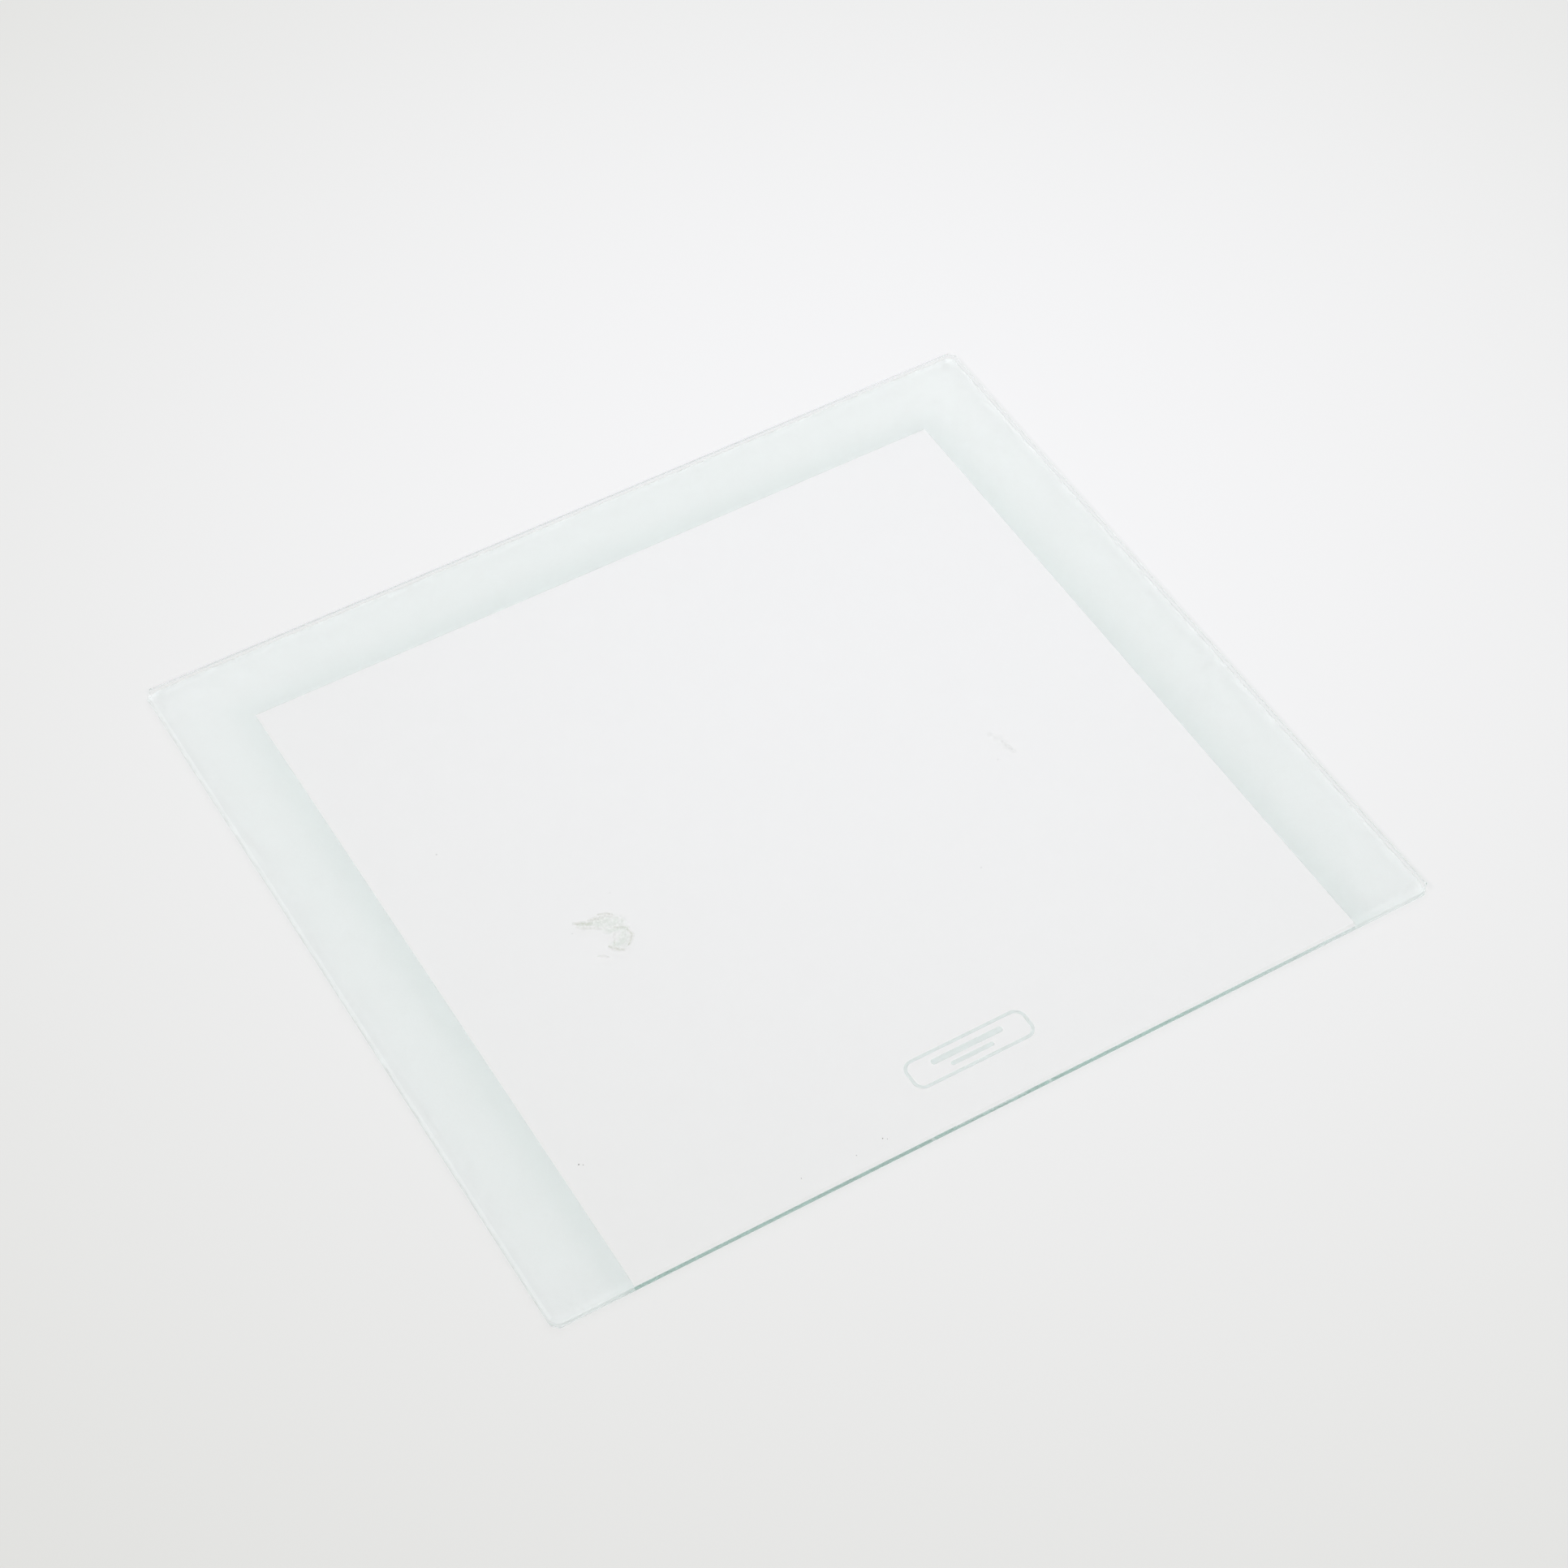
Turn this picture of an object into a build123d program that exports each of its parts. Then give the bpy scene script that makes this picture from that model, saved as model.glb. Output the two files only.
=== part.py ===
from build123d import *
import os

# Glass cover of a refrigerator's crisper drawer: one flat pane of tempered glass with a frosted
# border printed on its underside, lying as it does in use, printed side down.
# The origin is the centre of the underside. X runs along the front edge, Y to the back, Z up.
# All sizes are in millimetres.

# The pane
pane_width = 368.3
pane_depth = 330.2
pane_thickness = 4.0
corner_radius = 5.0
top_bevel = 1.0
under_bevel = 0.5

# The frosted border: three strips along the left, right and back edges, none along the front
border_left = 32.0
border_right = 33.5
border_back = 32.0
enamel_thickness = 0.03
enamel_margin = 0.8


def pane_blank():
    """The cut pane with rounded corners and a narrow bevel ground along every edge, wider on top."""
    outline = RectangleRounded(pane_width, pane_depth, corner_radius)
    slab = extrude(outline, pane_thickness)
    topped = chamfer(slab.faces().sort_by(Axis.Z)[-1].edges(), top_bevel)
    return chamfer(topped.faces().sort_by(Axis.Z)[0].edges(), under_bevel)


def enamel_layer():
    """The fired print, a U that stops just inside the bevel and leaves the window clear."""
    inset = under_bevel + enamel_margin
    field = RectangleRounded(pane_width - 2 * inset, pane_depth - 2 * inset, corner_radius - inset)
    window_left = border_left - pane_width / 2
    window_right = pane_width / 2 - border_right
    window_front = -pane_depth / 2
    window_back = pane_depth / 2 - border_back
    window = Rectangle(window_right - window_left, window_back - window_front, align=(Align.MIN, Align.MIN))
    return extrude(field - Pos(window_left, window_front) * window, enamel_thickness)


# The enamel melts into the glass when the pane is tempered, so its face ends up level with the underside
frosted_border = enamel_layer()
glass_pane = pane_blank() - frosted_border

os.makedirs("parts", exist_ok=True)
export_step(glass_pane, "parts/glass_pane.step")
export_step(frosted_border, "parts/frosted_border.step")
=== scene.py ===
import math

import bpy
from mathutils import Matrix, Vector


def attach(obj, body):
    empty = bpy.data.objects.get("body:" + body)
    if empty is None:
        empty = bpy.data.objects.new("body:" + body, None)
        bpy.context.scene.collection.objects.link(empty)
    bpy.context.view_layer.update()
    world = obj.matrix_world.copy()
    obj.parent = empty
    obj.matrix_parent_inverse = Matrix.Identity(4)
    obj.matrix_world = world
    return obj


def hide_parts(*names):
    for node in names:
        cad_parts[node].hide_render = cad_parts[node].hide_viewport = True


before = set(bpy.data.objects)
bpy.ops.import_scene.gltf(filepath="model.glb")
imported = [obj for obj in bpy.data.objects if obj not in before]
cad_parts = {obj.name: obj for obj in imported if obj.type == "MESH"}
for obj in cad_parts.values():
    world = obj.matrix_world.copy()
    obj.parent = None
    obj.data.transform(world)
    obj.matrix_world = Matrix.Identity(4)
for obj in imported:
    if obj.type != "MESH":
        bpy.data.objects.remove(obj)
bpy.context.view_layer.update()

# The pane: a sheet of soda-lime glass, cut to a rectangle with its corners taken off by short straight
# cuts, and tempered. A wheel has ground its edge matt, with a narrow bevel along the top and a finer one
# below. It lies loose on its underside.
pane_width = 0.3683
pane_depth = 0.3302
pane_thickness = 0.004
corner_cut = 0.0027
corner_easing = 0.0015
top_bevel = 0.001
under_bevel = 0.0005
corner_points = 8
seam_distance = 0.00005
sharp_degrees = 25
glass_bending = 1.52
glass_green = (0.333, 0.62, 0.53, 1.0)
glass_density = 2.8
polished_clear = (1.0, 1.0, 1.0, 1.0)
ground_clear = (0.97, 0.98, 0.978, 1.0)
ground_smoothest = 0.04
ground_roughest = 0.06
ground_grain = 4000.0


def add_node(tree, kind, **settings):
    """A new node with the given settings."""
    node = tree.nodes.new(kind)
    for name, value in settings.items():
        setattr(node, name, value)
    return node


def cut_outline(tree, width, depth, cut, easing, points):
    """A rectangle's outline, its corners cut straight and the cuts' ends eased, as a curve of the tree."""
    rectangle = add_node(tree, "GeometryNodeCurvePrimitiveQuadrilateral", mode="RECTANGLE")
    tree.links.new(width, rectangle.inputs["Width"])
    tree.links.new(depth, rectangle.inputs["Height"])
    cuts = add_node(tree, "GeometryNodeFilletCurve", mode="POLY")
    cuts.inputs["Count"].default_value = 1
    tree.links.new(rectangle.outputs["Curve"], cuts.inputs["Curve"])
    tree.links.new(cut, cuts.inputs["Radius"])
    eased = add_node(tree, "GeometryNodeFilletCurve", mode="POLY")
    tree.links.new(cuts.outputs["Curve"], eased.inputs["Curve"])
    tree.links.new(easing, eased.inputs["Radius"])
    tree.links.new(points, eased.inputs["Count"])
    return eased.outputs["Curve"]


def less(tree, size, part, times):
    """A size, or nothing, less a part taken so many times, as a node's output."""
    node = add_node(tree, "ShaderNodeMath", operation="MULTIPLY_ADD")
    tree.links.new(part, node.inputs[0])
    node.inputs[1].default_value = -times
    node.inputs[2].default_value = 0.0
    if size is not None:
        tree.links.new(size, node.inputs[2])
    return node.outputs[0]


def point_at(tree, across=None, up=None):
    """A point of the edge's section, as a node's output."""
    node = add_node(tree, "ShaderNodeCombineXYZ")
    if across is not None:
        tree.links.new(across, node.inputs["X"])
    if up is not None:
        tree.links.new(up, node.inputs["Y"])
    return node.outputs["Vector"]


def ground_pane_tree():
    """The pane: the ground edge swept round the outline, closed by a polished face above and below."""
    tree = bpy.data.node_groups.new("ground_pane", "GeometryNodeTree")
    for name in ("Width", "Depth", "Thickness", "Corner Cut", "Corner Easing", "Top Bevel", "Under Bevel"):
        tree.interface.new_socket(name, in_out="INPUT", socket_type="NodeSocketFloat")
    tree.interface.new_socket("Corner Points", in_out="INPUT", socket_type="NodeSocketInt")
    tree.interface.new_socket("Finish", in_out="INPUT", socket_type="NodeSocketMaterial")
    tree.interface.new_socket("Geometry", in_out="OUTPUT", socket_type="NodeSocketGeometry")
    sizes = add_node(tree, "NodeGroupInput").outputs
    width, depth, thickness = sizes["Width"], sizes["Depth"], sizes["Thickness"]
    cut, easing, points = sizes["Corner Cut"], sizes["Corner Easing"], sizes["Corner Points"]
    above, below = sizes["Top Bevel"], sizes["Under Bevel"]

    outline = cut_outline(tree, width, depth, cut, easing, points)
    upright = add_node(tree, "GeometryNodeSetCurveNormal", mode="Z_UP")
    tree.links.new(outline, upright.inputs["Curve"])
    # The section lies with the curve's outward side along X and the pane's underside along Y
    inward_above = less(tree, None, above, 1)
    inward_below = less(tree, None, below, 1)
    section = add_node(tree, "GeometryNodeCurvePrimitiveQuadrilateral", mode="POINTS")
    corners = (
        point_at(tree, inward_above, less(tree, None, thickness, 1)),
        point_at(tree, None, less(tree, above, thickness, 1)),
        point_at(tree, None, inward_below),
        point_at(tree, inward_below),
    )
    for number, corner in enumerate(corners, 1):
        tree.links.new(corner, section.inputs[f"Point {number}"])
    opened = add_node(tree, "GeometryNodeSetSplineCyclic")
    opened.inputs["Cyclic"].default_value = False
    tree.links.new(section.outputs["Curve"], opened.inputs["Geometry"])
    sweep = add_node(tree, "GeometryNodeCurveToMesh")
    tree.links.new(upright.outputs["Curve"], sweep.inputs["Curve"])
    tree.links.new(opened.outputs["Geometry"], sweep.inputs["Profile Curve"])
    ground = add_node(tree, "GeometryNodeStoreNamedAttribute", data_type="FLOAT", domain="FACE")
    ground.inputs["Name"].default_value = "ground"
    ground.inputs["Value"].default_value = 1.0
    tree.links.new(sweep.outputs["Mesh"], ground.inputs["Geometry"])

    faces = []
    for bevel in (above, below):
        face_width, face_depth = less(tree, width, bevel, 2), less(tree, depth, bevel, 2)
        # Set in by the bevel, a cut gets shorter by 2 - sqrt(2) of it, and its easing by all of it
        face_cut, face_easing = less(tree, cut, bevel, 2 - math.sqrt(2)), less(tree, easing, bevel, 1)
        face_outline = cut_outline(tree, face_width, face_depth, face_cut, face_easing, points)
        face = add_node(tree, "GeometryNodeFillCurve", mode="NGONS")
        tree.links.new(face_outline, face.inputs["Curve"])
        faces.append(face)
    top = add_node(tree, "GeometryNodeTransform")
    lift = add_node(tree, "ShaderNodeCombineXYZ")
    tree.links.new(thickness, lift.inputs["Z"])
    tree.links.new(faces[0].outputs["Mesh"], top.inputs["Geometry"])
    tree.links.new(lift.outputs["Vector"], top.inputs["Translation"])
    bottom = add_node(tree, "GeometryNodeFlipFaces")
    tree.links.new(faces[1].outputs["Mesh"], bottom.inputs["Mesh"])

    whole = add_node(tree, "GeometryNodeJoinGeometry")
    tree.links.new(ground.outputs["Geometry"], whole.inputs["Geometry"])
    tree.links.new(top.outputs["Geometry"], whole.inputs["Geometry"])
    tree.links.new(bottom.outputs["Mesh"], whole.inputs["Geometry"])
    closed = add_node(tree, "GeometryNodeMergeByDistance")
    closed.inputs["Distance"].default_value = seam_distance
    tree.links.new(whole.outputs["Geometry"], closed.inputs["Geometry"])
    real = add_node(tree, "GeometryNodeRealizeInstances")
    tree.links.new(closed.outputs["Geometry"], real.inputs["Geometry"])
    finish = add_node(tree, "GeometryNodeSetMaterial")
    tree.links.new(real.outputs["Geometry"], finish.inputs["Geometry"])
    tree.links.new(sizes["Finish"], finish.inputs["Material"])
    output = add_node(tree, "NodeGroupOutput")
    tree.links.new(finish.outputs["Geometry"], output.inputs["Geometry"])
    return tree


def grown(name, tree, values, start=None):
    """The plain mesh object that a node tree makes from the given values, and a mesh to start from."""
    maker = bpy.data.objects.new(name + "_maker", start or bpy.data.meshes.new(name + "_maker"))
    bpy.context.scene.collection.objects.link(maker)
    modifier = maker.modifiers.new(name, "NODES")
    modifier.node_group = tree
    for socket in tree.interface.items_tree:
        if socket.in_out == "INPUT" and socket.name in values:
            modifier[socket.identifier] = values[socket.name]
    ready = maker.evaluated_get(bpy.context.evaluated_depsgraph_get())
    mesh = bpy.data.meshes.new_from_object(ready)
    bpy.data.objects.remove(maker)
    mesh.name = name
    piece = bpy.data.objects.new(name, mesh)
    bpy.context.scene.collection.objects.link(piece)
    return piece


def glass_finish():
    """Clear glass with a green body: polished faces, and a matt edge where the wheel has ground it."""
    material = bpy.data.materials.new("tempered_glass")
    material.use_nodes = True
    tree = material.node_tree
    shader = tree.nodes["Principled BSDF"]
    shader.inputs["Transmission Weight"].default_value = 1.0
    shader.inputs["IOR"].default_value = glass_bending
    place = add_node(tree, "ShaderNodeTexCoord")
    grain = add_node(tree, "ShaderNodeTexNoise")
    grain.inputs["Scale"].default_value = ground_grain
    grain.inputs["Detail"].default_value = 2.0
    tree.links.new(place.outputs["Object"], grain.inputs["Vector"])
    matt = add_node(tree, "ShaderNodeMapRange")
    matt.inputs["To Min"].default_value = ground_smoothest
    matt.inputs["To Max"].default_value = ground_roughest
    tree.links.new(grain.outputs["Fac"], matt.inputs["Value"])
    ground = add_node(tree, "ShaderNodeAttribute", attribute_name="ground")
    roughness = add_node(tree, "ShaderNodeMath", operation="MULTIPLY")
    tree.links.new(matt.outputs["Result"], roughness.inputs[0])
    tree.links.new(ground.outputs["Fac"], roughness.inputs[1])
    tree.links.new(roughness.outputs["Value"], shader.inputs["Roughness"])
    clearness = add_node(tree, "ShaderNodeMix", data_type="RGBA")
    clearness.inputs["A"].default_value = polished_clear
    clearness.inputs["B"].default_value = ground_clear
    tree.links.new(ground.outputs["Fac"], clearness.inputs["Factor"])
    tree.links.new(clearness.outputs["Result"], shader.inputs["Base Color"])
    body = add_node(tree, "ShaderNodeVolumeAbsorption")
    body.inputs["Color"].default_value = glass_green
    body.inputs["Density"].default_value = glass_density
    tree.links.new(body.outputs["Volume"], tree.nodes["Material Output"].inputs["Volume"])
    return material


pane = grown("glass_sheet", ground_pane_tree(), {
    "Width": pane_width,
    "Depth": pane_depth,
    "Thickness": pane_thickness,
    "Corner Cut": corner_cut,
    "Corner Easing": corner_easing,
    "Top Bevel": top_bevel,
    "Under Bevel": under_bevel,
    "Corner Points": corner_points,
    "Finish": glass_finish(),
})
pane.data.polygons.foreach_set("use_smooth", [True] * len(pane.data.polygons))
pane.data.set_sharp_from_angle(angle=math.radians(sharp_degrees))
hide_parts("glass_pane")
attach(pane, "root")

# The frosted border: white enamel, screen printed on the underside along the left, right and back
# edges, and fired into the glass in the tempering furnace. The front edge has none.
border_left = 0.032
border_right = 0.0335
border_back = 0.032
print_margin = 0.0008
print_inset = under_bevel + print_margin
print_top = 0.00003
print_bottom = -0.000005
field_x = pane_width / 2 - print_inset
field_y = pane_depth / 2 - print_inset
field_radius = 0.0037
window_left = border_left - pane_width / 2
window_right = pane_width / 2 - border_right
window_back = pane_depth / 2 - border_back
enamel_white = (0.964, 0.968, 0.965, 1.0)
# Painted shade: the enamel's darker, greener colour at the window's edge, and how far in it fades to white
enamel_painted_shade = (0.946, 0.96, 0.955, 1.0)
enamel_shade_fade = 0.014
enamel_cover = 0.4
enamel_roughness = 0.9
enamel_grain = 1500.0
enamel_speckle = 0.025
# The glass's edge lights the print's outer rims from the side, and a painted shade darkens them a little
# against it
near_rim_shade = (0.91, 0.91, 0.908, 1.0)
near_rim_width = 0.0032
near_rim_lean = 0.5
far_rim_shade = (0.89, 0.893, 0.89, 1.0)
far_rim_width = 0.0027
far_rim_lean = 0.6


def round_corner(centre_x, centre_y, radius, start_degrees, steps=12):
    """Points of a quarter circle, anticlockwise."""
    angles = [math.radians(start_degrees + 90.0 * step / steps) for step in range(steps + 1)]
    return [(centre_x + radius * math.cos(a), centre_y + radius * math.sin(a)) for a in angles]


def printed_layer(name, shapes, finishes):
    """Closed layers of enamel as one object. A shape is an outline and its hole or None, anticlockwise."""
    points, faces, backs = [], [], []
    for outer, inner in shapes:
        first, count = len(points), len(outer)
        loops = [outer] if inner is None else [outer, inner]
        points += [(x, y, z) for loop in loops for z in (print_bottom, print_top) for x, y in loop]
        ring = [(i, (i + 1) % count) for i in range(count)]
        low, high = first, first + count
        if inner is None:
            faces.append(tuple(range(high, high + count)))
            faces.append(tuple(reversed(range(low, low + count))))
            backs += [0, 1]
        else:
            hole_low, hole_high = first + 2 * count, first + 3 * count
            faces += [(high + i, high + j, hole_high + j, hole_high + i) for i, j in ring]
            faces += [(low + j, low + i, hole_low + i, hole_low + j) for i, j in ring]
            faces += [(hole_low + j, hole_low + i, hole_high + i, hole_high + j) for i, j in ring]
            backs += [0] * count + [1] * 2 * count
        faces += [(low + i, low + j, high + j, high + i) for i, j in ring]
        backs += [1] * count
    mesh = bpy.data.meshes.new(name)
    mesh.from_pydata(points, [], faces)
    for finish in finishes:
        mesh.materials.append(finish)
    mesh.polygons.foreach_set("material_index", backs)
    piece = bpy.data.objects.new(name, mesh)
    bpy.context.scene.collection.objects.link(piece)
    return piece


def enamel_finish(name, cover):
    """Matt white enamel with a fine grain, painted shade towards the window and at its rims, covering the
    given share.
    """
    material = bpy.data.materials.new(name)
    material.use_nodes = True
    tree = material.node_tree
    shader = tree.nodes["Principled BSDF"]
    shader.inputs["Roughness"].default_value = enamel_roughness
    shader.inputs["Specular IOR Level"].default_value = 0.0
    shader.inputs["Alpha"].default_value = cover
    place = add_node(tree, "ShaderNodeTexCoord")
    axes = add_node(tree, "ShaderNodeSeparateXYZ")
    tree.links.new(place.outputs["Object"], axes.inputs["Vector"])
    # The distance from the window, whichever of its three sides is nearest
    left = add_node(tree, "ShaderNodeMath", operation="SUBTRACT")
    left.inputs[0].default_value = window_left
    tree.links.new(axes.outputs["X"], left.inputs[1])
    right = add_node(tree, "ShaderNodeMath", operation="SUBTRACT")
    right.inputs[1].default_value = window_right
    tree.links.new(axes.outputs["X"], right.inputs[0])
    back = add_node(tree, "ShaderNodeMath", operation="SUBTRACT")
    back.inputs[1].default_value = window_back
    tree.links.new(axes.outputs["Y"], back.inputs[0])
    side = add_node(tree, "ShaderNodeMath", operation="MAXIMUM")
    tree.links.new(left.outputs["Value"], side.inputs[0])
    tree.links.new(right.outputs["Value"], side.inputs[1])
    away = add_node(tree, "ShaderNodeMath", operation="MAXIMUM")
    tree.links.new(side.outputs["Value"], away.inputs[0])
    tree.links.new(back.outputs["Value"], away.inputs[1])
    # Painted shade: the enamel turns darker and greener within a short way of the window
    unshaded = add_node(tree, "ShaderNodeMapRange", interpolation_type="SMOOTHERSTEP")
    unshaded.inputs["From Max"].default_value = enamel_shade_fade
    tree.links.new(away.outputs["Value"], unshaded.inputs["Value"])
    tone = add_node(tree, "ShaderNodeMix", data_type="RGBA")
    tone.inputs["A"].default_value = enamel_painted_shade
    tone.inputs["B"].default_value = enamel_white
    tree.links.new(unshaded.outputs["Result"], tone.inputs["Factor"])
    # The distance from the print's left edge, and from the nearer of its right and back edges
    from_left = add_node(tree, "ShaderNodeMath", operation="ADD")
    from_left.inputs[1].default_value = field_x
    tree.links.new(axes.outputs["X"], from_left.inputs[0])
    from_right = add_node(tree, "ShaderNodeMath", operation="SUBTRACT")
    from_right.inputs[0].default_value = field_x
    tree.links.new(axes.outputs["X"], from_right.inputs[1])
    from_back = add_node(tree, "ShaderNodeMath", operation="SUBTRACT")
    from_back.inputs[0].default_value = field_y
    tree.links.new(axes.outputs["Y"], from_back.inputs[1])
    from_far = add_node(tree, "ShaderNodeMath", operation="MINIMUM")
    tree.links.new(from_right.outputs["Value"], from_far.inputs[0])
    tree.links.new(from_back.outputs["Value"], from_far.inputs[1])
    # Each rim's painted shade is darkest between its two ends, nearer to the print's edge
    rim_shaded = tone.outputs["Result"]
    for from_edge, width, lean, shade in (
        (from_left, near_rim_width, near_rim_lean, near_rim_shade),
        (from_far, far_rim_width, far_rim_lean, far_rim_shade),
    ):
        across = add_node(tree, "ShaderNodeMapRange")
        across.inputs["From Max"].default_value = width
        tree.links.new(from_edge.outputs["Value"], across.inputs["Value"])
        leaning = add_node(tree, "ShaderNodeMath", operation="POWER")
        leaning.inputs[1].default_value = lean
        tree.links.new(across.outputs["Result"], leaning.inputs[0])
        angle = add_node(tree, "ShaderNodeMath", operation="MULTIPLY")
        angle.inputs[1].default_value = math.pi
        tree.links.new(leaning.outputs["Value"], angle.inputs[0])
        depth = add_node(tree, "ShaderNodeMath", operation="SINE")
        tree.links.new(angle.outputs["Value"], depth.inputs[0])
        rim = add_node(tree, "ShaderNodeMix", data_type="RGBA")
        rim.inputs["B"].default_value = shade
        tree.links.new(depth.outputs["Value"], rim.inputs["Factor"])
        tree.links.new(rim_shaded, rim.inputs["A"])
        rim_shaded = rim.outputs["Result"]
    grain = add_node(tree, "ShaderNodeTexNoise")
    grain.inputs["Scale"].default_value = enamel_grain
    grain.inputs["Detail"].default_value = 2.0
    tree.links.new(place.outputs["Object"], grain.inputs["Vector"])
    speckle = add_node(tree, "ShaderNodeMapRange")
    speckle.inputs["To Min"].default_value = 1.0 - enamel_speckle
    speckle.inputs["To Max"].default_value = 1.0 + enamel_speckle
    tree.links.new(grain.outputs["Fac"], speckle.inputs["Value"])
    colour = add_node(tree, "ShaderNodeMix", data_type="RGBA", blend_type="MULTIPLY")
    colour.inputs["Factor"].default_value = 1.0
    tree.links.new(rim_shaded, colour.inputs["A"])
    tree.links.new(speckle.outputs["Result"], colour.inputs["B"])
    tree.links.new(colour.outputs["Result"], shader.inputs["Base Color"])
    return material


arc_x = field_x - field_radius
arc_y = field_y - field_radius
border_outline = [
    (window_left, -field_y),
    (window_left, window_back),
    (window_right, window_back),
    (window_right, -field_y),
    *round_corner(arc_x, -arc_y, field_radius, 270),
    *round_corner(arc_x, arc_y, field_radius, 0),
    *round_corner(-arc_x, arc_y, field_radius, 90),
    *round_corner(-arc_x, -arc_y, field_radius, 180),
]
enamel = (enamel_finish("frosted_enamel", enamel_cover), enamel_finish("enamel_back", 1.0))
border = printed_layer("frosted_print", [(border_outline, None)], enamel)
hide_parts("frosted_border")
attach(border, "root")

# The safety glass mark: printed on the underside near the front edge, with the border and in the same
# enamel. It is a plain one, a rounded frame round two bars.
mark_x = -0.0011
mark_y = -0.1388
mark_width = 0.051
mark_height = 0.0135
mark_radius = 0.0045
mark_line = 0.0013
mark_bar_rounding = 0.45
# A bar is how far it lies above the mark's middle, its width and its height
mark_bars = ((0.0018, 0.030, 0.0024), (-0.0022, 0.018, 0.0018))


def rounded_box(centre_x, centre_y, width, height, radius):
    """The outline of a rectangle with rounded corners, anticlockwise."""
    reach_x = width / 2 - radius
    reach_y = height / 2 - radius
    return [
        *round_corner(centre_x + reach_x, centre_y + reach_y, radius, 0),
        *round_corner(centre_x - reach_x, centre_y + reach_y, radius, 90),
        *round_corner(centre_x - reach_x, centre_y - reach_y, radius, 180),
        *round_corner(centre_x + reach_x, centre_y - reach_y, radius, 270),
    ]


mark_shapes = [(
    rounded_box(mark_x, mark_y, mark_width, mark_height, mark_radius),
    rounded_box(
        mark_x, mark_y, mark_width - 2 * mark_line, mark_height - 2 * mark_line, mark_radius - mark_line
    ),
)]
for bar_up, bar_width, bar_height in mark_bars:
    bar = rounded_box(mark_x, mark_y + bar_up, bar_width, bar_height, mark_bar_rounding * bar_height)
    mark_shapes.append((bar, None))
mark = printed_layer("printed_mark", mark_shapes, enamel)
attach(mark, "root")

# The dried spill: a thin film of something that ran and dried on the top face. It is pale and
# greenish, with a browner crust where it gathered, and it fades out at its edges.
millimetre = 0.001
dirt_roughness = 0.7
dirt_sheen = 0.2
film_grain = 500.0
crust_grain = 1400.0
patch_detail = 3.0
patch_breakup = 0.6
patch_low = 0.25
patch_high = 0.75
patch_thinnest = 0.25
patch_thickest = 1.35
spill_film_colour = (0.58, 0.68, 0.57, 1.0)
spill_film_cover = 0.34
spill_crust_colour = (0.42, 0.40, 0.30, 1.0)
spill_crust_cover = 0.38
# The film's own sizes are in millimetres, and so are the strokes
film_gap = 0.003
film_height = 0.03
film_edge = 0.002
film_step = 0.35
# A stroke is how strongly it covers, and its points, each with the stroke's half width there
spill_film = (
    (1.0, (
        (-95.2, -20.2, 1.4), (-91.5, -22.2, 2.4), (-88.1, -23.3, 4.0),
        (-84.9, -24.8, 5.0), (-81.8, -26.6, 4.2),
    )),
    (0.9, ((-87.2, -27.8, 2.4), (-83.9, -29.3, 2.6), (-81.0, -30.1, 2.4), (-83.0, -33.7, 3.8))),
    (1.0, ((-83.0, -33.7, 3.8), (-85.5, -35.7, 4.2), (-87.9, -35.1, 3.2))),
)
spill_crust = (
    (0.9, ((-96.2, -19.0, 0.9), (-93.5, -20.8, 1.9), (-91.0, -22.0, 1.3))),
    (0.7, ((-91.0, -20.4, 0.8), (-88.4, -21.0, 1.9), (-85.8, -22.0, 1.3))),
    (0.9, ((-86.8, -19.8, 0.5), (-84.0, -20.8, 1.1), (-82.0, -22.4, 0.7))),
    (0.5, ((-84.8, -21.7, 1.2), (-82.6, -23.1, 1.2))),
    (0.6, ((-96.2, -21.0, 0.6), (-94.0, -23.0, 1.0), (-91.3, -24.3, 0.8), (-88.8, -26.4, 0.9))),
    (0.6, ((-85.0, -27.6, 0.7), (-82.0, -29.2, 1.2), (-80.0, -30.6, 0.8))),
    (0.8, ((-80.6, -31.0, 0.7), (-80.2, -34.2, 1.4), (-81.2, -35.4, 1.2), (-83.6, -37.6, 0.7))),
    (0.9, ((-90.2, -34.6, 0.7), (-89.1, -36.7, 1.2), (-87.9, -37.5, 1.3), (-86.0, -39.0, 0.7))),
    (0.5, ((-85.6, -30.4, 0.8), (-88.4, -35.2, 0.9))),
    (0.6, ((-96.0, -36.5, 0.5), (-94.0, -37.3, 1.0), (-92.5, -39.0, 0.6))),
)


def laid_down(x, y, strokes):
    """How strongly the strokes cover a place, most along their middle and nothing from their edge on."""
    most = 0.0
    for strength, path in strokes:
        for (from_x, from_y, from_half), (to_x, to_y, to_half) in zip(path, path[1:]):
            run_x = to_x - from_x
            run_y = to_y - from_y
            along = ((x - from_x) * run_x + (y - from_y) * run_y) / (run_x ** 2 + run_y ** 2)
            along = min(1.0, max(0.0, along))
            away = math.hypot(x - from_x - along * run_x, y - from_y - along * run_y)
            most = max(most, strength * (1.0 - away / (from_half + along * (to_half - from_half))))
    return most


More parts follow.
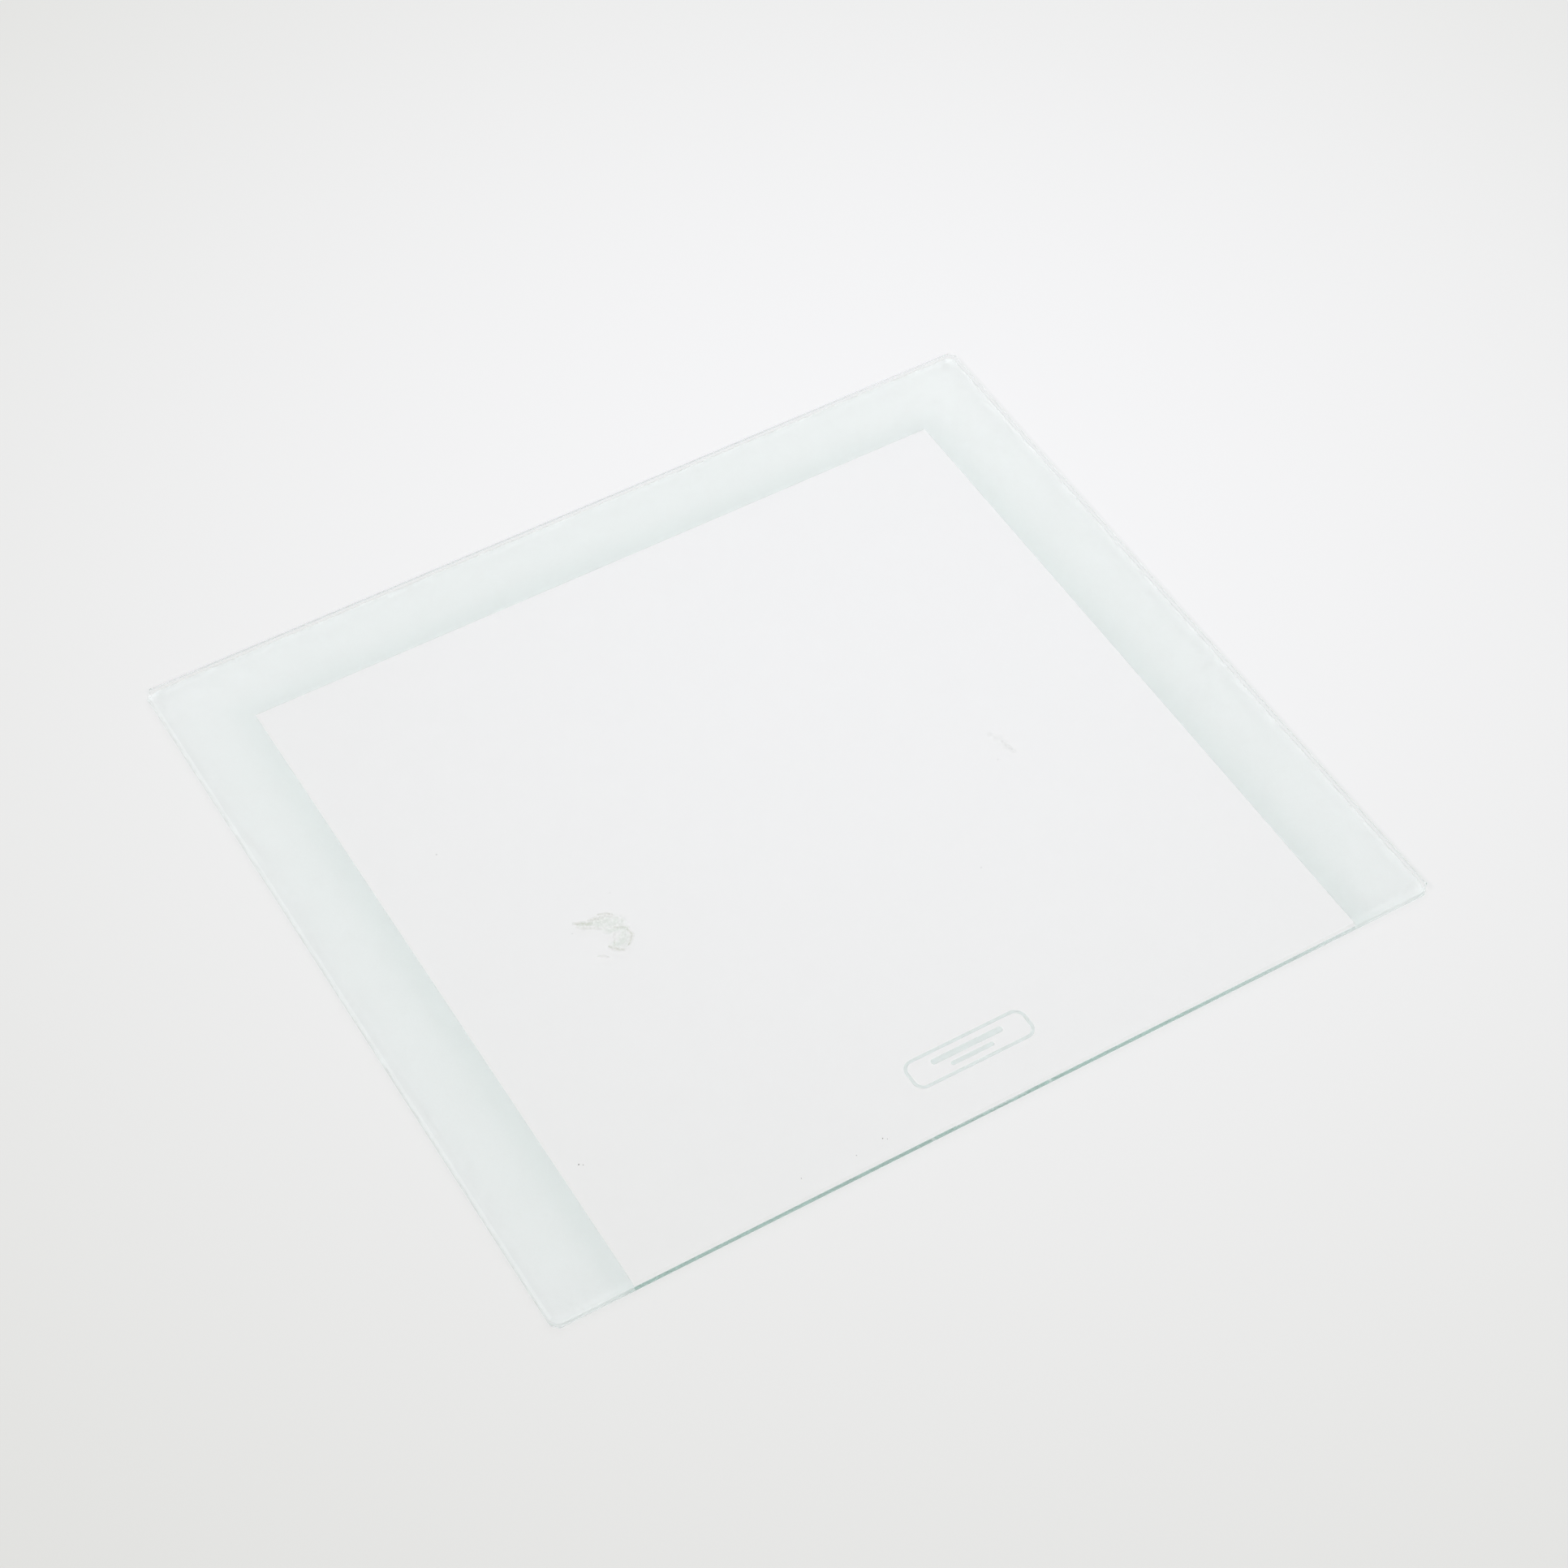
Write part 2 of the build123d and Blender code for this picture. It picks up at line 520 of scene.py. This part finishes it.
def covered_squares(strokes):
    """The squares of a fine grid that the strokes touch, with none that meet at a corner alone."""
    marks = [(x, y, half) for strength, path in strokes for x, y, half in path]
    first_x = math.floor(min(x - half for x, y, half in marks) / film_step)
    first_y = math.floor(min(y - half for x, y, half in marks) / film_step)
    last_x = math.ceil(max(x + half for x, y, half in marks) / film_step)
    last_y = math.ceil(max(y + half for x, y, half in marks) / film_step)
    squares = set()
    for i in range(first_x, last_x):
        for j in range(first_y, last_y):
            corners = ((i, j), (i + 1, j), (i + 1, j + 1), (i, j + 1))
            if any(laid_down(u * film_step, v * film_step, strokes) > 0.0 for u, v in corners):
                squares.add((i, j))
    loose = True
    while loose:
        loose = False
        for i, j in sorted(squares):
            for side in (-1, 1):
                if (i + side, j + 1) in squares and not {(i + side, j), (i, j + 1)} & squares:
                    squares.add((i, j + 1))
                    loose = True
    return squares


def dried_film(name, film, crust, finish):
    """A thin closed film on the top face, with how much film and crust lie at each point as attributes."""
    squares = covered_squares(film + crust)
    corners = sorted({(i + u, j + v) for i, j in squares for u in (0, 1) for v in (0, 1)})
    number = {corner: k for k, corner in enumerate(corners)}
    count = len(corners)
    covers = [
        (laid_down(i * film_step, j * film_step, film), laid_down(i * film_step, j * film_step, crust))
        for i, j in corners
    ]
    foot = pane_thickness / millimetre + film_gap
    heights = [foot + film_edge + film_height * max(pair) for pair in covers] + [foot] * count
    points = [(i * film_step, j * film_step, z) for (i, j), z in zip(corners * 2, heights)]
    faces = []
    for i, j in sorted(squares):
        ring = [number[i, j], number[i + 1, j], number[i + 1, j + 1], number[i, j + 1]]
        faces.append(tuple(ring))
        faces.append(tuple(count + k for k in reversed(ring)))
        beyond = ((i, j - 1), (i + 1, j), (i, j + 1), (i - 1, j))
        for side, neighbour in enumerate(beyond):
            if neighbour not in squares:
                here, there = ring[side], ring[(side + 1) % 4]
                faces.append((count + here, count + there, there, here))
    mesh = bpy.data.meshes.new(name)
    mesh.from_pydata([Vector(point) * millimetre for point in points], [], faces)
    for title, which in (("film", 0), ("crust", 1)):
        cover = mesh.attributes.new(title, "FLOAT", "POINT")
        cover.data.foreach_set("value", [pair[which] for pair in covers] + [0.0] * count)
    mesh.polygons.foreach_set("use_smooth", [True] * len(faces))
    mesh.materials.append(finish)
    piece = bpy.data.objects.new(name, mesh)
    bpy.context.scene.collection.objects.link(piece)
    return piece


def dried_finish(name, film_colour, crust_colour, film_cover, crust_cover):
    """Dried dirt that the glass shows through: its two colours, and the most that each covers."""
    material = bpy.data.materials.new(name)
    material.use_nodes = True
    tree = material.node_tree
    shader = tree.nodes["Principled BSDF"]
    shader.inputs["Roughness"].default_value = dirt_roughness
    shader.inputs["Specular IOR Level"].default_value = dirt_sheen
    place = add_node(tree, "ShaderNodeTexCoord")
    shares = []
    for title, grain, most in (("film", film_grain, film_cover), ("crust", crust_grain, crust_cover)):
        laid = add_node(tree, "ShaderNodeAttribute", attribute_name=title)
        patches = add_node(tree, "ShaderNodeTexNoise")
        patches.inputs["Scale"].default_value = grain
        patches.inputs["Detail"].default_value = patch_detail
        patches.inputs["Roughness"].default_value = patch_breakup
        tree.links.new(place.outputs["Object"], patches.inputs["Vector"])
        # Patches lift or lower the cover, and nothing is left where the strokes end
        uneven = add_node(tree, "ShaderNodeMapRange")
        uneven.inputs["From Min"].default_value = patch_low
        uneven.inputs["From Max"].default_value = patch_high
        uneven.inputs["To Min"].default_value = patch_thinnest
        uneven.inputs["To Max"].default_value = patch_thickest
        tree.links.new(patches.outputs["Fac"], uneven.inputs["Value"])
        lifted = add_node(tree, "ShaderNodeMath", operation="MULTIPLY")
        tree.links.new(laid.outputs["Fac"], lifted.inputs[0])
        tree.links.new(uneven.outputs["Result"], lifted.inputs[1])
        soft = add_node(tree, "ShaderNodeMapRange", interpolation_type="SMOOTHSTEP")
        soft.inputs["To Max"].default_value = most
        tree.links.new(lifted.outputs["Value"], soft.inputs["Value"])
        shares.append(soft.outputs["Result"])
    film, crust = shares
    total = add_node(tree, "ShaderNodeMath", operation="ADD")
    tree.links.new(film, total.inputs[0])
    tree.links.new(crust, total.inputs[1])
    browner = add_node(tree, "ShaderNodeMath", operation="DIVIDE")
    tree.links.new(crust, browner.inputs[0])
    tree.links.new(total.outputs["Value"], browner.inputs[1])
    colour = add_node(tree, "ShaderNodeMix", data_type="RGBA")
    colour.inputs["A"].default_value = film_colour
    colour.inputs["B"].default_value = crust_colour
    tree.links.new(browner.outputs["Value"], colour.inputs["Factor"])
    tree.links.new(colour.outputs["Result"], shader.inputs["Base Color"])
    tree.links.new(total.outputs["Value"], shader.inputs["Alpha"])
    return material


spill_dirt = dried_finish(
    "dried_spill", spill_film_colour, spill_crust_colour, spill_film_cover, spill_crust_cover
)
spill = dried_film("dried_spill", spill_film, spill_crust, spill_dirt)
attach(spill, "root")

# The smudge: a fainter and greyer streak of the same kind of dirt, near the right of the window.
# It dried on the top face as well, in one short stroke with a thicker middle.
smudge_film_colour = (0.56, 0.60, 0.56, 1.0)
smudge_film_cover = 0.12
smudge_crust_colour = (0.42, 0.44, 0.40, 1.0)
smudge_crust_cover = 0.18
smudge_film = (
    (1.0, ((83.6, -20.0, 1.4), (85.6, -24.1, 3.0), (86.1, -27.8, 2.8), (87.2, -32.0, 1.2))),
)
smudge_crust = (
    (0.8, ((85.8, -25.4, 0.9), (86.3, -28.2, 1.5), (86.9, -30.8, 0.9))),
)
smudge_dirt = dried_finish(
    "faint_smudge", smudge_film_colour, smudge_crust_colour, smudge_film_cover, smudge_crust_cover
)
smudge = dried_film("faint_smudge", smudge_film, smudge_crust, smudge_dirt)
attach(smudge, "root")

# The specks: crumbs of dark grit, each a fraction of a millimetre wide, a little flat and uneven.
# They lie loose on the top face, several of them near the front edge and near the spill.
speck_flatness = 0.3
speck_unevenness = 0.00012
speck_dents = 3000.0
speck_roundness = 3
speck_seed = 7
grit_dark = (0.08, 0.07, 0.06, 1.0)
grit_light = (0.30, 0.27, 0.22, 1.0)
grit_roughness = 0.8
grit_cover = 0.5
grit_grain = 4000.0
# A speck is where it lies and its half width, in millimetres
speck_places = (
    (-77.9, -13.2, 0.11), (-98.9, -22.8, 0.12), (79.6, -32.3, 0.13), (-145.4, -112.4, 0.25),
    (-144.1, -113.3, 0.15), (-124.5, 35.3, 0.15), (46.0, -73.0, 0.12), (-48.8, -157.0, 0.20),
    (-47.5, -158.0, 0.13), (-60.4, -158.4, 0.14), (-81.8, -156.8, 0.15),
)


def scattered_grit_tree():
    """A small flattened crumb at every given point, each turned and dented its own way."""
    tree = bpy.data.node_groups.new("scattered_grit", "GeometryNodeTree")
    tree.interface.new_socket("Geometry", in_out="INPUT", socket_type="NodeSocketGeometry")
    for name in ("Flatness", "Unevenness"):
        tree.interface.new_socket(name, in_out="INPUT", socket_type="NodeSocketFloat")
    tree.interface.new_socket("Seed", in_out="INPUT", socket_type="NodeSocketInt")
    tree.interface.new_socket("Finish", in_out="INPUT", socket_type="NodeSocketMaterial")
    tree.interface.new_socket("Geometry", in_out="OUTPUT", socket_type="NodeSocketGeometry")
    given = add_node(tree, "NodeGroupInput").outputs

    places = add_node(tree, "GeometryNodeMeshToPoints")
    tree.links.new(given["Geometry"], places.inputs["Mesh"])
    crumb = add_node(tree, "GeometryNodeMeshIcoSphere")
    crumb.inputs["Radius"].default_value = 1.0
    crumb.inputs["Subdivisions"].default_value = speck_roundness
    size = add_node(tree, "GeometryNodeInputNamedAttribute", data_type="FLOAT")
    size.inputs["Name"].default_value = "size"
    height = add_node(tree, "ShaderNodeMath", operation="MULTIPLY")
    tree.links.new(size.outputs["Attribute"], height.inputs[0])
    tree.links.new(given["Flatness"], height.inputs[1])
    scale = add_node(tree, "ShaderNodeCombineXYZ")
    tree.links.new(size.outputs["Attribute"], scale.inputs["X"])
    tree.links.new(size.outputs["Attribute"], scale.inputs["Y"])
    tree.links.new(height.outputs["Value"], scale.inputs["Z"])
    lift = add_node(tree, "ShaderNodeCombineXYZ")
    tree.links.new(height.outputs["Value"], lift.inputs["Z"])
    resting = add_node(tree, "GeometryNodeSetPosition")
    tree.links.new(places.outputs["Points"], resting.inputs["Geometry"])
    tree.links.new(lift.outputs["Vector"], resting.inputs["Offset"])
    angle = add_node(tree, "FunctionNodeRandomValue", data_type="FLOAT")
    angle.inputs["Max"].default_value = math.tau
    tree.links.new(given["Seed"], angle.inputs["Seed"])
    turn = add_node(tree, "ShaderNodeCombineXYZ")
    tree.links.new(angle.outputs["Value"], turn.inputs["Z"])
    spread = add_node(tree, "GeometryNodeInstanceOnPoints")
    tree.links.new(resting.outputs["Geometry"], spread.inputs["Points"])
    tree.links.new(crumb.outputs["Mesh"], spread.inputs["Instance"])
    tree.links.new(turn.outputs["Vector"], spread.inputs["Rotation"])
    tree.links.new(scale.outputs["Vector"], spread.inputs["Scale"])
    real = add_node(tree, "GeometryNodeRealizeInstances")
    tree.links.new(spread.outputs["Instances"], real.inputs["Geometry"])

    place = add_node(tree, "GeometryNodeInputPosition")
    dents = add_node(tree, "ShaderNodeTexNoise")
    dents.inputs["Scale"].default_value = speck_dents
    tree.links.new(place.outputs["Position"], dents.inputs["Vector"])
    # The noise lies about a half, and only what it pushes sideways is kept, so that the crumbs stay down
    centred = add_node(tree, "ShaderNodeVectorMath", operation="SUBTRACT")
    centred.inputs[1].default_value = (0.5, 0.5, 0.5)
    tree.links.new(dents.outputs["Color"], centred.inputs[0])
    push = add_node(tree, "ShaderNodeVectorMath", operation="SCALE")
    tree.links.new(centred.outputs["Vector"], push.inputs["Vector"])
    tree.links.new(given["Unevenness"], push.inputs["Scale"])
    sideways = add_node(tree, "ShaderNodeVectorMath", operation="MULTIPLY")
    sideways.inputs[1].default_value = (1.0, 1.0, 0.0)
    tree.links.new(push.outputs["Vector"], sideways.inputs[0])
    dented = add_node(tree, "GeometryNodeSetPosition")
    tree.links.new(real.outputs["Geometry"], dented.inputs["Geometry"])
    tree.links.new(sideways.outputs["Vector"], dented.inputs["Offset"])
    finish = add_node(tree, "GeometryNodeSetMaterial")
    tree.links.new(dented.outputs["Geometry"], finish.inputs["Geometry"])
    tree.links.new(given["Finish"], finish.inputs["Material"])
    output = add_node(tree, "NodeGroupOutput")
    tree.links.new(finish.outputs["Geometry"], output.inputs["Geometry"])
    return tree


def grit_finish():
    """Dark brown grit, a little lighter here and there."""
    material = bpy.data.materials.new("dark_grit")
    material.use_nodes = True
    tree = material.node_tree
    shader = tree.nodes["Principled BSDF"]
    shader.inputs["Roughness"].default_value = grit_roughness
    shader.inputs["Alpha"].default_value = grit_cover
    place = add_node(tree, "ShaderNodeTexCoord")
    patches = add_node(tree, "ShaderNodeTexNoise")
    patches.inputs["Scale"].default_value = grit_grain
    tree.links.new(place.outputs["Object"], patches.inputs["Vector"])
    colour = add_node(tree, "ShaderNodeMix", data_type="RGBA")
    colour.inputs["A"].default_value = grit_dark
    colour.inputs["B"].default_value = grit_light
    tree.links.new(patches.outputs["Fac"], colour.inputs["Factor"])
    tree.links.new(colour.outputs["Result"], shader.inputs["Base Color"])
    return material


speck_points = bpy.data.meshes.new("speck_points")
speck_points.from_pydata(
    [(x * millimetre, y * millimetre, pane_thickness) for x, y, size in speck_places], [], []
)
speck_sizes = speck_points.attributes.new("size", "FLOAT", "POINT")
speck_sizes.data.foreach_set("value", [size * millimetre for x, y, size in speck_places])
specks = grown("grit_specks", scattered_grit_tree(), {
    "Flatness": speck_flatness,
    "Unevenness": speck_unevenness,
    "Seed": speck_seed,
    "Finish": grit_finish(),
}, speck_points)
specks.data.polygons.foreach_set("use_smooth", [True] * len(specks.data.polygons))
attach(specks, "root")

# The floor: a wide sheet of pale, slightly glowing plastic that the pane lies on. A painted pool of light
# makes it brightest behind the pane and to its right, falling off softly from there. A painted shadow lies
# on it close behind the pane's right and back edges.
floor_level = -0.0001
floor_half = 12.0
floor_glow = 0.87
# A painted pool of light: where it is brightest, its colour there and far away, and how far it falls off
floor_bright_place = (0.123, 0.099, floor_level)
floor_bright = (0.915, 0.915, 0.925, 1.0)
floor_dim = (0.68, 0.68, 0.645, 1.0)
floor_fall = 0.95
floor_roughness = 0.9
# A painted shadow behind the pane's right and back edges: how far it reaches, and its tone
shadow_width = 0.0034
shadow_tone = (0.94, 0.945, 0.95, 1.0)
floor_mesh = bpy.data.meshes.new("pale_floor")
floor_mesh.from_pydata(
    [(x * floor_half, y * floor_half, floor_level) for x, y in ((-1, -1), (1, -1), (1, 1), (-1, 1))],
    [],
    [(0, 1, 2, 3)],
)
floor = bpy.data.objects.new("pale_floor", floor_mesh)
bpy.context.scene.collection.objects.link(floor)
plastic = bpy.data.materials.new("pale_plastic")
plastic.use_nodes = True
plastic_tree = plastic.node_tree
plastic_shader = plastic_tree.nodes["Principled BSDF"]
plastic_shader.inputs["Roughness"].default_value = floor_roughness
plastic_shader.inputs["Specular IOR Level"].default_value = 0.0
floor_place = add_node(plastic_tree, "ShaderNodeTexCoord")
# The painted pool of light: paler near its brightest place, dimmer further off
floor_reach = add_node(plastic_tree, "ShaderNodeVectorMath", operation="DISTANCE")
floor_reach.inputs[1].default_value = floor_bright_place
plastic_tree.links.new(floor_place.outputs["Object"], floor_reach.inputs[0])
floor_falling = add_node(plastic_tree, "ShaderNodeMapRange", interpolation_type="SMOOTHSTEP")
floor_falling.inputs["From Max"].default_value = floor_fall
plastic_tree.links.new(floor_reach.outputs["Value"], floor_falling.inputs["Value"])
floor_colour = add_node(plastic_tree, "ShaderNodeMix", data_type="RGBA")
floor_colour.inputs["A"].default_value = floor_bright
floor_colour.inputs["B"].default_value = floor_dim
plastic_tree.links.new(floor_falling.outputs["Result"], floor_colour.inputs["Factor"])
# The painted shadow lies close behind the right and the back edge, and ends where the edge does
floor_axes = add_node(plastic_tree, "ShaderNodeSeparateXYZ")
plastic_tree.links.new(floor_place.outputs["Object"], floor_axes.inputs["Vector"])
shadow_depth = add_node(plastic_tree, "ShaderNodeMath", operation="MAXIMUM")
shadow_sides = (("X", pane_width / 2, "Y", pane_depth / 2), ("Y", pane_depth / 2, "X", pane_width / 2))
for side, (across_axis, edge, along_axis, end) in enumerate(shadow_sides):
    past = add_node(plastic_tree, "ShaderNodeMapRange")
    past.inputs["From Min"].default_value = edge
    past.inputs["From Max"].default_value = edge + shadow_width
    past.inputs["To Max"].default_value = math.pi
    plastic_tree.links.new(floor_axes.outputs[across_axis], past.inputs["Value"])
    arch = add_node(plastic_tree, "ShaderNodeMath", operation="SINE")
    plastic_tree.links.new(past.outputs["Result"], arch.inputs[0])
    from_middle = add_node(plastic_tree, "ShaderNodeMath", operation="ABSOLUTE")
    plastic_tree.links.new(floor_axes.outputs[along_axis], from_middle.inputs[0])
    within = add_node(plastic_tree, "ShaderNodeMapRange", interpolation_type="SMOOTHSTEP")
    within.inputs["From Min"].default_value = end
    within.inputs["From Max"].default_value = end - shadow_width
    plastic_tree.links.new(from_middle.outputs["Value"], within.inputs["Value"])
    strip = add_node(plastic_tree, "ShaderNodeMath", operation="MULTIPLY")
    plastic_tree.links.new(arch.outputs["Value"], strip.inputs[0])
    plastic_tree.links.new(within.outputs["Result"], strip.inputs[1])
    plastic_tree.links.new(strip.outputs["Value"], shadow_depth.inputs[side])
shadow = add_node(plastic_tree, "ShaderNodeMix", data_type="RGBA", blend_type="MULTIPLY")
shadow.inputs["B"].default_value = shadow_tone
plastic_tree.links.new(shadow_depth.outputs["Value"], shadow.inputs["Factor"])
plastic_tree.links.new(floor_colour.outputs["Result"], shadow.inputs["A"])
plastic_tree.links.new(shadow.outputs["Result"], plastic_shader.inputs["Base Color"])
glow = add_node(plastic_tree, "ShaderNodeEmission")
plastic_tree.links.new(shadow.outputs["Result"], glow.inputs["Color"])


# A ray's scatterings are counted in whole numbers, so half of one tells none from some
half_scatter = 0.5


def seen_directly(tree, first_only):
    """1 for rays from the camera, a reflection or through glass, or for those of them not yet scattered."""
    path = add_node(tree, "ShaderNodeLightPath")
    shiny = add_node(tree, "ShaderNodeMath", operation="MAXIMUM")
    tree.links.new(path.outputs["Is Glossy Ray"], shiny.inputs[0])
    tree.links.new(path.outputs["Is Transmission Ray"], shiny.inputs[1])
    seen = add_node(tree, "ShaderNodeMath", operation="MAXIMUM")
    tree.links.new(path.outputs["Is Camera Ray"], seen.inputs[0])
    tree.links.new(shiny.outputs["Value"], seen.inputs[1])
    if not first_only:
        return seen.outputs["Value"]
    unscattered = add_node(tree, "ShaderNodeMath", operation="LESS_THAN")
    unscattered.inputs[1].default_value = half_scatter
    tree.links.new(path.outputs["Diffuse Depth"], unscattered.inputs[0])
    both = add_node(tree, "ShaderNodeMath", operation="MULTIPLY")
    tree.links.new(seen.outputs["Value"], both.inputs[0])
    tree.links.new(unscattered.outputs["Value"], both.inputs[1])
    return both.outputs["Value"]


floor_share = add_node(plastic_tree, "ShaderNodeMath", operation="MULTIPLY")
floor_share.inputs[1].default_value = floor_glow
plastic_tree.links.new(seen_directly(plastic_tree, False), floor_share.inputs[0])
floor_mix = add_node(plastic_tree, "ShaderNodeMixShader")
plastic_tree.links.new(floor_share.outputs["Value"], floor_mix.inputs["Fac"])
plastic_tree.links.new(plastic_shader.outputs["BSDF"], floor_mix.inputs[1])
plastic_tree.links.new(glow.outputs["Emission"], floor_mix.inputs[2])
plastic_tree.links.new(floor_mix.outputs["Shader"], plastic_tree.nodes["Material Output"].inputs["Surface"])
floor_mesh.materials.append(plastic)

# The light: a white room, brighter overhead, and a large soft lamp behind the pane and to its right.
# What the camera and the glass see of the room is an even pale grey, and a white card at the back left,
# which the bevel along the left edge mirrors.
room_low = 0.2
room_overhead = 1.53
room_gathering = 3.0
room_white = (1.0, 1.0, 1.0, 1.0)
room_seen = (0.68, 0.68, 0.68, 1.0)
card_way = (-0.77, 0.55, 0.33)
card_inner_degrees = 18
card_outer_degrees = 35
card_white = (1.4, 1.4, 1.4, 1.0)
lamp_place = Vector((0.45, 0.55, 1.2))
lamp_radius = 0.5
lamp_sides = 48
lamp_strength = 2.0
lamp_colour = (0.96, 1.0, 1.06, 1.0)
room = bpy.data.worlds.new("white_room")
room.use_nodes = True
room_tree = room.node_tree
looking = add_node(room_tree, "ShaderNodeTexCoord")
looking_up = add_node(room_tree, "ShaderNodeSeparateXYZ")
room_tree.links.new(looking.outputs["Generated"], looking_up.inputs["Vector"])
above = add_node(room_tree, "ShaderNodeClamp")
room_tree.links.new(looking_up.outputs["Z"], above.inputs["Value"])
overhead = add_node(room_tree, "ShaderNodeMath", operation="POWER")
overhead.inputs[1].default_value = room_gathering
room_tree.links.new(above.outputs["Result"], overhead.inputs[0])
strength = add_node(room_tree, "ShaderNodeMath", operation="MULTIPLY_ADD")
strength.inputs[1].default_value = room_overhead
strength.inputs[2].default_value = room_low
room_tree.links.new(overhead.outputs["Value"], strength.inputs[0])
room_light = room_tree.nodes["Background"]
room_light.inputs["Color"].default_value = room_white
room_tree.links.new(strength.outputs["Value"], room_light.inputs["Strength"])
room_backdrop = add_node(room_tree, "ShaderNodeBackground")
card_near = add_node(room_tree, "ShaderNodeVectorMath", operation="DOT_PRODUCT")
card_near.inputs[1].default_value = Vector(card_way).normalized()
room_tree.links.new(looking.outputs["Generated"], card_near.inputs[0])
card_share = add_node(room_tree, "ShaderNodeMapRange", interpolation_type="SMOOTHSTEP")
card_share.inputs["From Min"].default_value = math.cos(math.radians(card_outer_degrees))
card_share.inputs["From Max"].default_value = math.cos(math.radians(card_inner_degrees))
room_tree.links.new(card_near.outputs["Value"], card_share.inputs["Value"])
card_tone = add_node(room_tree, "ShaderNodeMix", data_type="RGBA")
card_tone.inputs["A"].default_value = room_seen
card_tone.inputs["B"].default_value = card_white
room_tree.links.new(card_share.outputs["Result"], card_tone.inputs["Factor"])
room_tree.links.new(card_tone.outputs["Result"], room_backdrop.inputs["Color"])
room_mix = add_node(room_tree, "ShaderNodeMixShader")
room_tree.links.new(seen_directly(room_tree, True), room_mix.inputs["Fac"])
room_tree.links.new(room_light.outputs["Background"], room_mix.inputs[1])
room_tree.links.new(room_backdrop.outputs["Background"], room_mix.inputs[2])
room_tree.links.new(room_mix.outputs["Shader"], room_tree.nodes["World Output"].inputs["Surface"])
bpy.context.scene.world = room
lamp_turn = lamp_place.to_track_quat("Z", "Y")
lamp_rim = []
for step in range(lamp_sides):
    lamp_angle = math.tau * step / lamp_sides
    lamp_spoke = Vector((lamp_radius * math.cos(lamp_angle), -lamp_radius * math.sin(lamp_angle), 0.0))
    lamp_rim.append(lamp_place + lamp_turn @ lamp_spoke)
lamp_mesh = bpy.data.meshes.new("soft_lamp")
lamp_mesh.from_pydata(lamp_rim, [], [tuple(range(lamp_sides))])
lamp = bpy.data.objects.new("soft_lamp", lamp_mesh)
bpy.context.scene.collection.objects.link(lamp)
lamp_cloth = bpy.data.materials.new("lamp_cloth")
lamp_cloth.use_nodes = True
lamp_cloth.cycles.emission_sampling = "NONE"
lamp_tree = lamp_cloth.node_tree
lamp_path = add_node(lamp_tree, "ShaderNodeLightPath")
lamp_scattered = add_node(lamp_tree, "ShaderNodeMath", operation="GREATER_THAN")
lamp_scattered.inputs[1].default_value = half_scatter
lamp_tree.links.new(lamp_path.outputs["Diffuse Depth"], lamp_scattered.inputs[0])
lamp_level = add_node(lamp_tree, "ShaderNodeMath", operation="MULTIPLY")
lamp_level.inputs[1].default_value = lamp_strength
lamp_tree.links.new(lamp_scattered.outputs["Value"], lamp_level.inputs[0])
lamp_shine = add_node(lamp_tree, "ShaderNodeEmission")
lamp_shine.inputs["Color"].default_value = lamp_colour
lamp_tree.links.new(lamp_level.outputs["Value"], lamp_shine.inputs["Strength"])
lamp_clear = add_node(lamp_tree, "ShaderNodeBsdfTransparent")
lamp_both = add_node(lamp_tree, "ShaderNodeAddShader")
lamp_tree.links.new(lamp_shine.outputs["Emission"], lamp_both.inputs[0])
lamp_tree.links.new(lamp_clear.outputs["BSDF"], lamp_both.inputs[1])
lamp_tree.links.new(lamp_both.outputs["Shader"], lamp_tree.nodes["Material Output"].inputs["Surface"])
lamp_mesh.materials.append(lamp_cloth)

# The camera: to the left of the pane's front edge, looking down on it at about 50 degrees through
# a long lens. The pane's four edges in the picture give its place and the way it is turned.
camera_place = Vector((-0.45641, -0.77164, 1.08881))
camera_right = Vector((0.85941, -0.51128, 0.00145))
camera_up = Vector((0.39317, 0.66268, 0.63739))
camera_sensor = 36.0
camera_lens = 85.77
camera_data = bpy.data.cameras.new("camera")
camera_data.sensor_width = camera_sensor
camera_data.lens = camera_lens
camera = bpy.data.objects.new("camera", camera_data)
bpy.context.scene.collection.objects.link(camera)
camera_back = camera_right.cross(camera_up)
camera_turn = Matrix((camera_right, camera_up, camera_back)).transposed()
camera.matrix_world = Matrix.Translation(camera_place) @ camera_turn.to_4x4()
bpy.context.scene.camera = camera

# The picture: taken with plain colours, and with light followed all the way along the inside of the pane.
# What the glass mirrors isn't blurred, or its edges would go milky.
light_bounces = 80
scatter_bounces = 12
scene = bpy.context.scene
scene.view_settings.view_transform = "Standard"
scene.cycles.max_bounces = light_bounces
scene.cycles.diffuse_bounces = scatter_bounces
scene.cycles.glossy_bounces = light_bounces
scene.cycles.transmission_bounces = light_bounces
scene.cycles.transparent_max_bounces = light_bounces
scene.cycles.blur_glossy = 0.0
